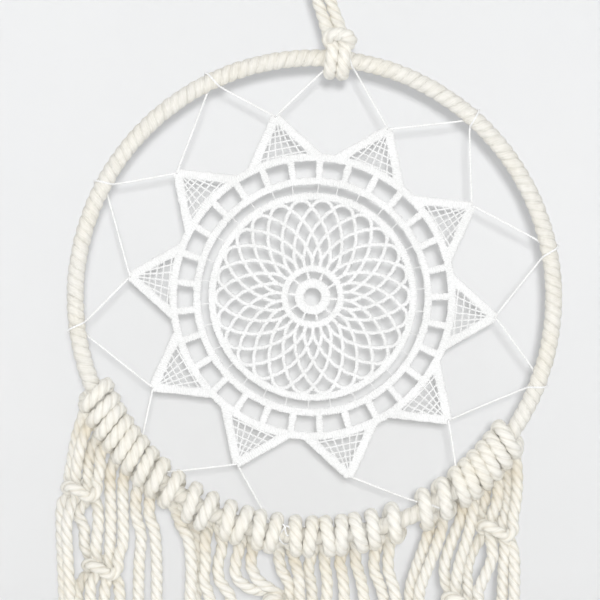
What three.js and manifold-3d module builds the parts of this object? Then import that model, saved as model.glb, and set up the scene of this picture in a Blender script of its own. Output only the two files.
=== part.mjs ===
// A dream catcher: a corded hoop holds a round lace doily, fifteen cords hang from it as a knotted
// fringe, and a looped cord hangs it from a nail.
//
// Millimetres, +Z up. The origin is where the hanging loop rests on its nail. The hoop stands in the
// XZ plane, and its face looks towards -Y. Everything below the loop sits in one group whose own
// origin is the centre of the hoop.
import * as THREE from 'three';
import { mergeVertices } from 'three/addons/utils/BufferGeometryUtils.js';
import Module from 'manifold-3d';

const wasm = await Module();
wasm.setup();

// Driving dimensions.
const HOOP_RADIUS = 98.7; // to the middle of the wire
const WIRE_DIAMETER = 3.6;
const WRAP_DIAMETER = 7.2; // over the cotton that covers the wire
const CORD_DIAMETER = 5; // three-ply cotton cord: fringe and hanging cord
const THREAD_DIAMETER = 0.8;
const LACE_THICKNESS = 1;
const GAP = 0.3; // left between pieces that touch
const HOOP_CENTRE = new THREE.Vector3(6.4, -2, -225); // hangs with its weight under the nail

// Sizes worked out from them.
const CORD_RADIUS = CORD_DIAMETER / 2;
const WRAP_RADIUS = WRAP_DIAMETER / 2;
const THREAD_RADIUS = THREAD_DIAMETER / 2;

// Facets: how finely each kind of piece is divided.
const HOOP_STEPS = 48;
const WIRE_SIDES = 6;
const WRAP_SIDES = 8;
const CORD_SIDES = 8;
const KNOT_SIDES = 6;
const KNOT_STEPS = 8;

// The turns of a knot clear the winding even at the middle of their facets.
const KNOT_RING_RADIUS = (WRAP_RADIUS + GAP) / Math.cos(Math.PI / KNOT_STEPS) + CORD_RADIUS;

const COTTON = { color: 0xeeead9, roughness: 0.95, metalness: 0 };
const LACE = { color: 0xf7f7f5, roughness: 0.9, metalness: 0 };
const STEEL = { color: 0xb9bcc0, roughness: 0.35, metalness: 1 };

// ---------- Geometry helpers ----------

const radians = THREE.MathUtils.degToRad;
const point = (x, y, z) => new THREE.Vector3(x, y, z);

// A point in the hoop's plane, by its distance from the centre and its angle from +X towards +Z.
function onHoop(radius, degrees, y = 0) {
  const angle = radians(degrees);
  return point(radius * Math.cos(angle), y, radius * Math.sin(angle));
}

function circle(radius, sides) {
  const outline = new THREE.Shape();
  for (let side = 0; side < sides; side += 1) {
    const angle = (2 * Math.PI * (side + 0.5)) / sides;
    const corner = [radius * Math.cos(angle), radius * Math.sin(angle)];
    if (side === 0) outline.moveTo(...corner);
    else outline.lineTo(...corner);
  }
  outline.closePath();
  return outline;
}

// A smooth curve whose steps keep to its own points, so that close points give short steps.
class Route extends THREE.CatmullRomCurve3 {
  getPointAt(share, target) {
    return this.getPoint(share, target);
  }

  getTangentAt(share, target) {
    return this.getTangent(share, target);
  }
}

// A solid cord along a list of [x, y, z] points.
function tube(places, radius, sides, stepsPerSpan = 1) {
  const route = new Route(places.map((place) => point(...place)));
  const steps = (places.length - 1) * stepsPerSpan;
  return new THREE.ExtrudeGeometry(circle(radius, sides), { steps, extrudePath: route });
}

// manifold-3d's solid for a closed geometry, and the geometry for a solid.
function toSolid(geometry) {
  const bare = geometry.clone();
  bare.deleteAttribute('normal');
  bare.deleteAttribute('uv');
  const merged = mergeVertices(bare, 1e-4);
  const mesh = new wasm.Mesh({
    numProp: 3,
    vertProperties: new Float32Array(merged.attributes.position.array),
    triVerts: new Uint32Array(merged.index.array),
  });
  return new wasm.Manifold(mesh);
}

function toGeometry(solid) {
  const mesh = solid.getMesh();
  const geometry = new THREE.BufferGeometry();
  geometry.setAttribute('position', new THREE.BufferAttribute(mesh.vertProperties, 3));
  geometry.setIndex(new THREE.BufferAttribute(mesh.triVerts, 1));
  geometry.computeVertexNormals();
  return geometry;
}

function join(geometries) {
  const solids = geometries.map(toSolid);
  return toGeometry(solids.reduce((whole, solid) => whole.add(solid)));
}

function addPiece(group, name, geometry, look) {
  const piece = new THREE.Mesh(geometry, new THREE.MeshStandardMaterial(look));
  piece.name = name;
  group.add(piece);
  return piece;
}

// ---------- The hoop: a steel ring wound with cotton ----------

// The wire is a closed ring. The winding over it starts and ends under the hanging knot.
const HANGING_KNOT_ANGLE = 84.5;
const WINDING_GAP_DEGREES = 1.2;

function wireRing() {
  const ring = new THREE.TorusGeometry(HOOP_RADIUS, WIRE_DIAMETER / 2, WIRE_SIDES, HOOP_STEPS);
  return ring.rotateX(Math.PI / 2);
}

class HoopArc extends THREE.Curve {
  getPoint(share, target = new THREE.Vector3()) {
    const turn = 360 - WINDING_GAP_DEGREES;
    const start = HANGING_KNOT_ANGLE + WINDING_GAP_DEGREES / 2;
    return target.copy(onHoop(HOOP_RADIUS, start + share * turn));
  }
}

function winding() {
  const section = circle(WRAP_RADIUS, WRAP_SIDES);
  section.holes.push(circle(WIRE_DIAMETER / 2 + 2 * GAP, WIRE_SIDES));
  return new THREE.ExtrudeGeometry(section, { steps: HOOP_STEPS, extrudePath: new HoopArc() });
}

// ---------- The lace doily ----------

// Rings of the crocheted pattern, by radius from the middle outwards. "first" is the angle of the
// middle of a ring's first opening, and "share" is how much of its pitch an opening takes.
const DOILY_CENTRE = [-0.8, 0.2]; // X and Z: the lacing pulls it a little off the hoop's centre
const EYE_RADIUS = 3.4;
const ROSETTE = { inner: 7.5, outer: 10.2, count: 10, first: -6.4, share: 0.7 };
const NET = { inner: 14, outer: 38.5, count: 26, first: 0, share: 0.62 };
const BRIDGES = { inner: 43, outer: 46.2, count: 30, first: -2, share: 0.86 };
const WINDOWS = { inner: 49.3, outer: 55.9, count: 29, first: 6.2, share: 0.75 };
const DISC_RADIUS = 59.2;
const POINTS = { count: 10, tip: 77.2, firstAngle: -6.4, halfBase: 15.5, band: 3.2 };

// One opening of a ring: four corners, covering its share of the ring's pitch.
function ringOpening({ inner, outer, count, first, share }, index) {
  const pitch = 360 / count;
  const middle = first + index * pitch;
  const half = (pitch * share) / 2;
  const corners = [
    onHoop(inner, middle - half), onHoop(outer, middle - half),
    onHoop(outer, middle + half), onHoop(inner, middle + half),
  ];
  return new THREE.Path(corners.map(({ x, z }) => new THREE.Vector2(x, z)));
}

const pointAngle = (index) => POINTS.firstAngle + (index * 360) / POINTS.count;

function doilyOutline() {
  const corners = [];
  for (let index = 0; index < POINTS.count; index += 1) {
    const angle = pointAngle(index);
    corners.push(onHoop(DISC_RADIUS, angle - POINTS.halfBase));
    corners.push(onHoop(POINTS.tip, angle));
    corners.push(onHoop(DISC_RADIUS, angle + POINTS.halfBase));
  }
  return new THREE.Shape(corners.map(({ x, z }) => new THREE.Vector2(x, z)));
}

// The triangle of fine mesh inside a point is left open: its threads are too thin to be solid.
function pointOpening(index) {
  const angle = pointAngle(index);
  const low = DISC_RADIUS + 1;
  const half = POINTS.halfBase - POINTS.band;
  const high = POINTS.tip - 2 * POINTS.band;
  const corners = [onHoop(low, angle - half), onHoop(high, angle), onHoop(low, angle + half)];
  return new THREE.Path(corners.map(({ x, z }) => new THREE.Vector2(x, z)));
}

function doily() {
  const outline = doilyOutline();
  outline.holes.push(new THREE.Path(circle(EYE_RADIUS, WRAP_SIDES).getPoints()));
  for (const ring of [ROSETTE, NET, BRIDGES, WINDOWS]) {
    for (let index = 0; index < ring.count; index += 1) {
      outline.holes.push(ringOpening(ring, index));
    }
  }
  for (let index = 0; index < POINTS.count; index += 1) outline.holes.push(pointOpening(index));
  const cloth = new THREE.ExtrudeGeometry(outline, { depth: LACE_THICKNESS, bevelEnabled: false });
  cloth.rotateX(Math.PI / 2);
  return cloth.translate(DOILY_CENTRE[0], LACE_THICKNESS / 2, DOILY_CENTRE[1]);
}

// ---------- The lacing thread ----------

// The thread zigzags between the doily's points and the hoop. Each pair of angles is where it
// reaches the hoop after one point and leaves it for the next. Where cords cover the hoop, it
// stops on their inner side.
const LACING = [
  { to: 9.5, from: 14.4 }, { to: 47.4, from: 50.1 }, { to: 79.8, from: 86.9, covered: true },
  { to: 114, from: 118 }, { to: 150.5, from: 154.1 }, { to: 185.9, from: 189.9 },
  { to: 220.8, from: 229.5, covered: true }, { to: 258.9, from: 267.6, covered: true },
  { to: 296.8, from: 308.1, covered: true }, { to: 336.6, from: 341.8 },
];
const LACING_START = 7; // the thread's two ends are tied where this crossing is
const THREAD_SIDES = 6;
const LACING_CORNER = 2.5; // how near its corners the thread starts to bend
const TIP_INSET = 1.5; // from a point's tip to the loop of thread through it

function lacingCorners() {
  const clear = HOOP_RADIUS - WRAP_RADIUS - GAP - 2 * THREAD_RADIUS;
  const clearOfKnots = HOOP_RADIUS - KNOT_RING_RADIUS - CORD_RADIUS - GAP - 2 * THREAD_RADIUS;
  const front = -(LACE_THICKNESS / 2 + GAP + 2 * THREAD_RADIUS);
  const corners = [];
  LACING.forEach(({ to, from, covered }, index) => {
    const radius = covered ? clearOfKnots : clear;
    const tip = onHoop(POINTS.tip - TIP_INSET, pointAngle(index), front);
    tip.add(point(DOILY_CENTRE[0], 0, DOILY_CENTRE[1]));
    corners.push(tip, onHoop(radius, to), onHoop(radius, from));
  });
  const start = 3 * LACING_START + 2;
  return [...corners.slice(start), ...corners.slice(0, start)];
}

// Straight legs between sharp corners: the thread bends only close to each corner.
function withNearPoints(corners, reach) {
  const towards = (from, to) => from.clone().add(to.clone().sub(from).setLength(reach));
  const places = [corners[0]];
  for (let index = 1; index < corners.length; index += 1) {
    const [last, next] = [corners[index - 1], corners[index]];
    if (last.distanceTo(next) > 3 * reach) places.push(towards(last, next), towards(next, last));
    places.push(next);
  }
  return places.map(({ x, y, z }) => [x, y, z]);
}

function lacing() {
  return tube(withNearPoints(lacingCorners(), LACING_CORNER), THREAD_RADIUS, THREAD_SIDES);
}

// ---------- Lark's head knots ----------

// Turns geometry made at the origin, with X along the hoop and Z outwards, to an angle of the hoop.
function placeOnHoop(geometry, degrees) {
  geometry.rotateY(Math.PI / 2 - radians(degrees));
  const { x, y, z } = onHoop(HOOP_RADIUS, degrees);
  return geometry.translate(x, y, z);
}

// One turn of the cord round the hoop.
function wrap(degrees) {
  const ring = new THREE.TorusGeometry(KNOT_RING_RADIUS, CORD_RADIUS, KNOT_SIDES, KNOT_STEPS);
  return placeOnHoop(ring.rotateY(Math.PI / 2), degrees);
}

// Two turns and the bar that crosses between them. bar.y is in front or behind, bar.out is outwards.
function larksHead(degrees, spread, bar) {
  const half = THREE.MathUtils.radToDeg(spread / 2 / HOOP_RADIUS);
  const crossing = new THREE.CylinderGeometry(CORD_RADIUS, CORD_RADIUS, spread + bar.extra, KNOT_SIDES);
  crossing.rotateZ(Math.PI / 2).translate(0, bar.y, bar.out);
  return join([wrap(degrees - half), wrap(degrees + half), placeOnHoop(crossing, degrees)]);
}

// ---------- The hanging cord ----------

const TOP_KNOT = { radius: 8.5, top: -26, bottom: -42, sides: 10 };
const HANGING_KNOT_SPREAD = 5.2;
const HANGING_BAR = { y: -8.1, out: 7.1, extra: CORD_DIAMETER };
const LEG_OFFSET = 2.65; // half the distance between the two legs

// The loop over the nail, both ends going down into the top knot.
const LOOP_ROUTE = [
  [-3.2, 0, -24.6], [-6.4, 0, -17], [-10, 0, -8], [-7.2, 0, -0.5], [0, 0, 2.5],
  [7.2, 0, -0.5], [10, 0, -8], [6.4, 0, -17], [3.2, 0, -24.6],
];

// The middle line between the two legs, from the top knot down to the hoop.
const LEGS_ROUTE = [
  [0, 0, -44.5], [0.3, -0.3, -56], [2.2, -1.2, -70], [5.6, -2.6, -85], [10, -4, -102], [13.9, -5, -115.2],
];

// The overhand knot that joins the two legs, as a plain barrel with a waist.
function topKnot() {
  const { radius, top, bottom, sides } = TOP_KNOT;
  const height = top - bottom;
  const waist = 0.82 * radius;
  const profile = [
    [0, 0], [0.6 * radius, 0], [radius, 0.25 * height], [waist, 0.5 * height],
    [radius, 0.75 * height], [0.6 * radius, height], [0, height],
  ];
  const barrel = new THREE.LatheGeometry(profile.map(([x, y]) => new THREE.Vector2(x, y)), sides);
  return barrel.rotateX(Math.PI / 2).translate(0, 0, bottom);
}

function hangingLeg(sign) {
  return tube(LEGS_ROUTE.map(([x, y, z]) => [x + sign * LEG_OFFSET, y, z]), CORD_RADIUS, CORD_SIDES);
}

// ---------- The fringe ----------

// Square knots tie four tails together: [X, Z] of each knot's middle. Two tails run straight
// through side by side, one crosses in front of them and one crosses behind.
const SQUARE_KNOTS = {
  a: [-96.3, -79.6], b: [-87.7, -111.8], c: [-12.6, -126.5], d: [75.5, -95.7], e: [61.2, -125.4],
};
const LANES = { left: [-2.7, 5], right: [2.7, 5], front: [0, -0.5], back: [0, 10.5] };

function through([x, z], lane) {
  const [across, depth] = LANES[lane];
  return [x + across, depth, z];
}

// Each cord of the fringe is folded over the hoop at its angle, in degrees. spread is the distance
// between its two turns, and the two routes are the tails, from just below the knot to the cut
// ends, in the hoop's own frame.
const FRINGE = [
  {
    angle: 206.1, spread: 6.5, side: 'left',
    left: [
      [-97.2, 7, -53], [-99, 7.5, -59], [-101, 7.5, -69.5], [-100.5, 8.5, -74.5],
      through(SQUARE_KNOTS.a, 'back'), [-104.5, 8.5, -85], [-105, 6.5, -96], [-104.5, 6.5, -110],
      [-104, 6, -127], [-106, 5.5, -167], [-106.5, 5.5, -354],
    ],
    right: [
      [-94.9, 2.5, -56], [-97, 2, -63], [-98, 1.5, -72.5], through(SQUARE_KNOTS.a, 'left'),
      [-101, 3, -85.5], [-102.3, 1, -93.5], [-102, 0.5, -104.5], [-101, 1, -127], [-101.5, 2.5, -167],
      [-101.5, 2.5, -351],
    ],
  },
  {
    angle: 213, spread: 5.9, side: 'left',
    left: [
      [-92, 7, -62], [-93.7, 6, -68], [-93.8, 5, -73], through(SQUARE_KNOTS.a, 'right'),
      [-95, 7.3, -83.5], [-98, 7.5, -88], [-95.2, 6.5, -94], [-95.8, 6.5, -102], [-94, 9.8, -109],
      through(SQUARE_KNOTS.b, 'back'), [-96, 9, -117], [-98.4, 6.5, -122], [-97.6, 5.5, -130],
      [-96, 5.5, -167], [-96, 5.5, -355],
    ],
    right: [
      [-88.5, 2, -64.5], [-89.4, 1.5, -72.5], [-91.5, -0.5, -77.5], through(SQUARE_KNOTS.a, 'front'),
      [-94, 1, -84.5], [-90.8, 3, -93.5], [-90.4, 4, -104.5], through(SQUARE_KNOTS.b, 'left'),
      [-92.3, 3.5, -118], [-92.7, 3.5, -127], [-90.5, 5, -167], [-90.5, 5, -350],
    ],
  },
  {
    angle: 219.65, spread: 5.7, side: 'left',
    left: [
      [-84.4, 5, -71.5], [-84.7, 5, -77], [-84.4, 5, -91], [-85, 5, -102],
      through(SQUARE_KNOTS.b, 'right'), [-86.3, 5, -118], [-87.2, 5, -127], [-85, 5, -167],
      [-85, 5, -353],
    ],
    right: [
      [-79.2, 5, -76], [-79.3, 5, -91], [-79.8, 3, -104.5], [-82, 0.5, -109.5],
      through(SQUARE_KNOTS.b, 'front'), [-83.2, -0.2, -117], [-81.6, 2.5, -125], [-79.8, 5, -167],
      [-79.8, 5, -356],
    ],
  },
  {
    angle: 226.95, spread: 6.7, side: 'left',
    left: [
      [-73.9, 5, -82.5], [-73.8, 5, -91], [-71.9, 5, -98], [-72.6, 5, -110], [-73, 5, -127],
      [-73.8, 5, -167], [-74, 5, -352],
    ],
    right: [
      [-68.4, 5, -86.5], [-68.3, 5, -91], [-66.4, 5, -96.5], [-65.4, 5, -110], [-65.4, 5, -127],
      [-66.5, 5, -167], [-67.5, 5, -354],
    ],
  },
  {
    angle: 236.2, spread: 10, side: 'middle',
    left: [
      [-55.2, 4, -94.8], [-52.6, 2.5, -99], [-51, 2, -110], [-51.6, 2.5, -127], [-53.3, 3, -146],
      [-54.8, 5, -167], [-56, 5, -351],
    ],
    right: [
      [-49.2, 8, -98], [-48.6, 7.5, -103], [-48.8, 7.5, -115], [-49.2, 7.5, -127], [-49.2, 6.8, -146],
      [-49.3, 5, -167], [-50.5, 5, -355],
    ],
  },
  {
    angle: 246, spread: 9.8, side: 'middle',
    left: [
      [-45.2, 3, -100.5], [-45.1, 3.3, -109], [-45.6, 3, -117.5], [-43.4, 3.5, -125], [-43.6, 5, -167],
      [-44.5, 5, -350],
    ],
    right: [
      [-38.3, 5, -103.3], [-40, 5.5, -111.5], [-39.2, 5, -117.5], [-34.6, 5, -125], [-33, 5, -167],
      [-32.5, 5, -356],
    ],
  },
  {
    angle: 254.4, spread: 7.4, side: 'middle',
    left: [
      [-31.4, 5, -105.2], [-32.6, 5, -110], [-32.3, 5, -116], [-28.5, 6, -121.5], [-20, 9.7, -125.3],
      through(SQUARE_KNOTS.c, 'back'), [-17.2, 10.6, -129.3], [-22, 8.7, -133], [-24.7, 5, -167],
      [-26, 5, -352],
    ],
    right: [
      [-26, 5, -107], [-26.3, 5, -111], [-24.8, 5, -116], [-20.2, 5, -120],
      through(SQUARE_KNOTS.c, 'left'), [-17.2, 4.5, -133], [-18.8, 5, -167], [-20, 5, -354],
    ],
  },
  {
    angle: 262.8, spread: 9.3, side: 'middle',
    left: [
      [-14.5, 5, -109.5], [-13.8, 5, -113.5], [-12.3, 5.3, -117.5], through(SQUARE_KNOTS.c, 'right'),
      [-11.3, 5, -134], [-13.1, 5, -167], [-14.2, 5, -351],
    ],
    right: [
      [-8.1, 4, -109.8], [-7.9, 2.8, -113.5], [-9.3, 0.4, -117.5], [-10.6, -0.8, -121.5],
      through(SQUARE_KNOTS.c, 'front'), [-9.4, -0.8, -130.3], [-7.3, 1, -134], [-7.4, 2.5, -147],
      [-7.3, 5, -167], [-8, 5, -355],
    ],
  },
  {
    angle: 271.1, spread: 7.2, side: 'middle',
    left: [
      [-2, 5.5, -110], [-3.2, 6.5, -114], [-4.3, 7, -119], [-4.6, 7, -127], [-3.2, 7, -147],
      [-1.5, 5, -167], [-1, 5, -350],
    ],
    right: [
      [4.2, 5, -110], [5.3, 5, -117.5], [5, 5, -127], [5, 5, -167], [5, 5, -356],
    ],
  },
  {
    angle: 278.5, spread: 7.1, side: 'middle',
    left: [
      [10.5, 5, -109.5], [11.7, 5, -115.5], [12.5, 5, -127], [12, 5, -167], [11.5, 5, -353],
    ],
    right: [
      [17, 5, -109], [19.2, 5, -117], [20.7, 5, -127], [19.5, 5, -167], [18.5, 5, -351],
    ],
  },
  {
    angle: 286.8, spread: 9.1, side: 'middle',
    left: [
      [24.9, 5, -107.2], [24.9, 5, -113.5], [27.3, 5, -119.5], [28.8, 5, -127], [26.7, 5, -167],
      [25.5, 5, -355],
    ],
    right: [
      [30.8, 5, -105.6], [30.7, 5, -113.5], [32.6, 4, -119.5], [33.8, 3, -127], [33, 4.5, -167],
      [32.5, 5, -350],
    ],
  },
  {
    angle: 300.2, spread: 9.1, side: 'right',
    left: [
      [47, 6, -99], [42.6, 7, -111.5], [40, 7.5, -120], [39.4, 7, -127], [39.3, 6, -167],
      [39, 5, -354],
    ],
    right: [
      [52.4, 3.3, -96.5], [50.2, 3, -104], [47.2, 3, -111.5], [43.6, 2.8, -121], [43.4, 3, -127],
      [45.6, 4.5, -167], [45.5, 5, -351],
    ],
  },
  {
    angle: 309.15, spread: 5.3, side: 'right',
    left: [
      [60.8, 6, -91.5], [58.2, 6, -98], [54.2, 5.5, -110], [53.4, 6.5, -118.5], [55.8, 9.7, -123.2],
      through(SQUARE_KNOTS.e, 'back'), [56.8, 10.6, -128.6], [53.5, 8.7, -132], [51.8, 5, -167],
      [52, 5, -356],
    ],
    right: [
      [65.6, 3, -87.9], [63.7, 3, -98], [60.1, 2.7, -110], [58.9, 3.3, -119],
      through(SQUARE_KNOTS.e, 'left'), [58, 5, -133], [58, 5, -167], [58.5, 5, -352],
    ],
  },
  {
    angle: 315.45, spread: 5.2, side: 'right',
    left: [
      [70.8, 7, -84], [69.4, 8, -90], [70.5, 9.7, -93.5], through(SQUARE_KNOTS.d, 'back'),
      [67.8, 8.7, -102], [64.5, 7.5, -107.5], [63, 7.8, -114.5], [63.8, 6, -120.5],
      through(SQUARE_KNOTS.e, 'right'), [63.8, 5, -133], [64.2, 5, -167], [64.5, 5, -355],
    ],
    right: [
      [76, 4, -79.4], [75.5, 4, -86], [74.1, 4.5, -91], through(SQUARE_KNOTS.d, 'left'),
      [73.2, 3, -101], [74.3, 2.5, -105.5], [71.1, 1, -112.2], [67.4, -0.5, -121],
      through(SQUARE_KNOTS.e, 'front'), [65, -0.9, -128.8], [68.2, 1.2, -132.5], [70.4, 5, -167],
      [70.5, 5, -351],
    ],
  },
  {
    angle: 321.9, spread: 5.9, side: 'right',
    left: [
      [80.3, 8, -75.8], [79.9, 7.7, -84], [79.7, 6.5, -90], through(SQUARE_KNOTS.d, 'right'),
      [79, 6, -101.5], [78.6, 6, -107.5], [77.9, 6.3, -125], [77, 5, -167], [77, 5, -354],
    ],
    right: [
      [83.8, 4, -71.3], [84, 3.3, -79], [83.5, 1.5, -90], [80.5, -0.6, -94.2],
      through(SQUARE_KNOTS.d, 'front'), [80.6, 0.4, -101], [83, 3, -110], [82.5, 3.3, -125],
      [83, 5, -167], [83, 5, -350],
    ],
  },
];

function addFringe(group) {
  const bar = { y: KNOT_RING_RADIUS, out: 0, extra: 0 };
  FRINGE.forEach(({ angle, spread, left, right }, index) => {
    const number = String(index + 1).padStart(2, '0');
    addPiece(group, `fringe_knot_${number}`, larksHead(angle, spread, bar), COTTON);
    addPiece(group, `fringe_tail_${number}_left`, tube(left, CORD_RADIUS, CORD_SIDES), COTTON);
    addPiece(group, `fringe_tail_${number}_right`, tube(right, CORD_RADIUS, CORD_SIDES), COTTON);
  });
}

// ---------- Assembly ----------

const dreamCatcher = new THREE.Group();
addPiece(dreamCatcher, 'hanging_loop', tube(LOOP_ROUTE, CORD_RADIUS, CORD_SIDES), COTTON);
addPiece(dreamCatcher, 'top_knot', topKnot(), COTTON);
addPiece(dreamCatcher, 'hanging_leg_left', hangingLeg(-1), COTTON);
addPiece(dreamCatcher, 'hanging_leg_right', hangingLeg(1), COTTON);

const hoop = new THREE.Group();
hoop.position.copy(HOOP_CENTRE);
dreamCatcher.add(hoop);
addPiece(hoop, 'steel_ring', wireRing(), STEEL);
addPiece(hoop, 'ring_winding', winding(), COTTON);
addPiece(hoop, 'lace_doily', doily(), LACE);
addPiece(hoop, 'lacing_thread', lacing(), LACE);
const hangingKnot = larksHead(HANGING_KNOT_ANGLE, HANGING_KNOT_SPREAD, HANGING_BAR);
addPiece(hoop, 'hanging_knot', hangingKnot, COTTON);
addFringe(hoop);

export default dreamCatcher;
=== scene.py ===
"""The looks of the dream catcher: cotton cords, a wound hoop, a guipure lace doily and its lacing thread.

Sizes are in millimetres, except for the stage and the lights, and become Blender's metres when a
mesh is made. +Z is up, the face looks towards -Y, and the origin is the nail.
"""

import math

import bpy
import numpy as np
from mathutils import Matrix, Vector


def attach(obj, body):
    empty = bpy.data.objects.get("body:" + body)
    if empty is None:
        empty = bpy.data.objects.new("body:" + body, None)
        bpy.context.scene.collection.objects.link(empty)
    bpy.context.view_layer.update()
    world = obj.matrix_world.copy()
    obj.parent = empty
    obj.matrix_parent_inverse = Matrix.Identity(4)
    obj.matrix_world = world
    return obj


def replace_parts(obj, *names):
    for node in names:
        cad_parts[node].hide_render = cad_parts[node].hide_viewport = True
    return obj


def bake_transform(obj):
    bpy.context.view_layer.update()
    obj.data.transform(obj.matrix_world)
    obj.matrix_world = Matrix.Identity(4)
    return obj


MM = 0.001

# The same driving dimensions as the CAD part.
HOOP_RADIUS = 98.7
HOOP_CENTRE = np.array([6.4, -2.0, -225.0])
WRAP_RADIUS = 3.6  # of the hoop's section, over its winding
CORD_DIAMETER = 5.0
CORD_RADIUS = CORD_DIAMETER / 2
THREAD_DIAMETER = 0.8
LACE_THICKNESS = 1.0

CORD_LAY = 13.0  # one full turn of the cord's three plies
CORD_STEP = 0.9  # between the rings of a cord's mesh
CUT_END = 1.5  # how far a cut end is drawn in
KNOT_SWELL = 0.14  # how much wider a cord is in its knot
KNOT_SOFTNESS = 0.28  # how far its plies are pressed together there
KNOT_FADE = 5  # the height over which a cord below or above a knot takes on that width

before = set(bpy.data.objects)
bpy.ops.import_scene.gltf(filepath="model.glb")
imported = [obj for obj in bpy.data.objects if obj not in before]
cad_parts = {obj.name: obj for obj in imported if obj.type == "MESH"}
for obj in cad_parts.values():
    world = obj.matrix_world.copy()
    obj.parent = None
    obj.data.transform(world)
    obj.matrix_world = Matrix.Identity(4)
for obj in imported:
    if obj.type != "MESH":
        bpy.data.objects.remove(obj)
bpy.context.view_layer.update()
random = np.random.default_rng(7)


# ---------- Camera ----------

PICTURE_WIDTH = 247.6  # across the view, at the hoop
PICTURE_CENTRE = np.array([0.4, -2.0, -226.2])
CAMERA_DISTANCE = 1100.0
SENSOR_WIDTH = 36.0


def make_camera():
    data = bpy.data.cameras.new("camera")
    data.sensor_width = SENSOR_WIDTH
    data.lens = SENSOR_WIDTH * CAMERA_DISTANCE / PICTURE_WIDTH
    data.clip_end = 20
    camera = bpy.data.objects.new("camera", data)
    camera.location = (PICTURE_CENTRE - [0, CAMERA_DISTANCE, 0]) * MM
    camera.rotation_euler = (math.radians(90), 0, 0)
    bpy.context.scene.collection.objects.link(camera)
    bpy.context.scene.camera = camera


# ---------- Lines ----------


def smooth(points, step):
    """Points a step apart along one smooth curve through the given points (centripetal Catmull-Rom)."""
    places = np.array(points, float)
    places = np.vstack([2 * places[0] - places[1], places, 2 * places[-1] - places[-2]])
    dense = []
    for p0, p1, p2, p3 in zip(places, places[1:], places[2:], places[3:]):
        gaps = (p1 - p0, p2 - p1, p3 - p2)
        a, b, c = (math.sqrt(max(np.linalg.norm(gap), 1e-6)) for gap in gaps)
        leave = ((p1 - p0) / a - (p2 - p0) / (a + b) + (p2 - p1) / b) * b
        arrive = ((p2 - p1) / b - (p3 - p1) / (b + c) + (p3 - p2) / c) * b
        t = np.linspace(0, 1, 24, endpoint=False)[:, None]
        dense.append(
            (2 * t**3 - 3 * t**2 + 1) * p1
            + (t**3 - 2 * t**2 + t) * leave
            + (3 * t**2 - 2 * t**3) * p2
            + (t**3 - t**2) * arrive
        )
    return evenly(np.vstack([*dense, places[-2:-1]]), step)


def evenly(line, step):
    """The line's points, spaced a step apart."""
    along = along_line(line)
    count = max(2, round(along[-1] / step) + 1)
    wanted = np.linspace(0, along[-1], count)
    return np.column_stack([np.interp(wanted, along, line[:, axis]) for axis in range(3)])


def along_line(line):
    """How far along the line each of its points is."""
    return np.concatenate([[0], np.cumsum(np.linalg.norm(np.diff(line, axis=0), axis=1))])


def unit(vectors):
    return vectors / np.linalg.norm(vectors, axis=-1, keepdims=True)


def carried_normals(tangents):
    """Directions across the line that turn as little as they can from each point to the next."""
    start = np.cross(tangents[0], [0, 0, 1] if abs(tangents[0][2]) < 0.9 else [1, 0, 0])
    normals = [start / np.linalg.norm(start)]
    for tangent in tangents[1:]:
        across = normals[-1] - normals[-1].dot(tangent) * tangent
        normals.append(across / np.linalg.norm(across))
    return np.array(normals)


def on_hoop(degrees, along=0.0, depth=0.0, out=0.0):
    """A point near the hoop: along it, behind it and outwards from its middle line."""
    angle = math.radians(degrees)
    outwards = np.array([math.cos(angle), 0, math.sin(angle)])
    onwards = np.array([-math.sin(angle), 0, math.cos(angle)])
    return outwards * (HOOP_RADIUS + out) + onwards * along + np.array([0, depth, 0])


# ---------- Meshes ----------


def lobed_section(lobes, radius, share=0.37, count=8):
    """Angles and radii of a rope's section: round plies side by side, and how far out each point is."""
    middle, ply = radius * share, radius * (1 - share) * 1.02
    half = math.pi / lobes
    ply = max(ply, middle * math.sin(half) * 1.0001)
    across = np.linspace(-half, half, count, endpoint=False)
    reach = middle * np.cos(across) + np.sqrt(np.maximum(ply**2 - (middle * np.sin(across)) ** 2, 0))
    angles = np.concatenate([across + 2 * half * lobe for lobe in range(lobes)])
    radii = np.tile(reach, lobes)
    # crest is 0 in the grooves and 1 on the plies' tops; the cotton paints shade into the grooves by it.
    crest = (radii - radii.min()) / (radii.max() - radii.min())
    return angles, radii, crest


def sweep(name, line, section, turns, normals=None, thickness=1.0, scale=None, soft=0.0, extra=None):
    """A closed mesh of a section carried along a line (mm), turned at each point by turns (radians).

    normals gives the direction that thickness flattens, by one share or one for each point. scale is
    a size for each point, and soft rounds the section's plies off, from 0 to 1.
    extra is (name, one value per point of the line) for a value the material reads.
    """
    angles, radii, crest = section
    tangents = unit(np.gradient(line, axis=0))
    if normals is None:
        normals = carried_normals(tangents)
    sideways = np.cross(tangents, normals)
    scale = np.ones(len(line)) if scale is None else scale
    spin = angles[None, :] + turns[:, None]
    soft = np.broadcast_to(soft, len(line))[:, None]
    reach = (radii * (1 - soft) + radii.max() * 0.97 * soft) * scale[:, None]
    thickness = np.broadcast_to(thickness, len(line))[:, None]
    rings = (
        line[:, None, :]
        + normals[:, None, :] * (reach * np.cos(spin) * thickness)[..., None]
        + sideways[:, None, :] * (reach * np.sin(spin))[..., None]
    )
    sides = len(angles)
    mesh = tube_mesh(name, rings, line, girth=2 * math.pi * radii.mean())
    # Where the plies are pressed round, crest rises towards 1 and the painted shade in the grooves fades.
    crest = crest * (1 - soft) + soft
    add_value(mesh, "crest", np.concatenate([crest.ravel(), [1, 1]]))
    if extra is not None:
        value_name, values = extra
        add_value(mesh, value_name, np.concatenate([np.repeat(values, sides), values[[0, -1]]]))
    return mesh


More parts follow.
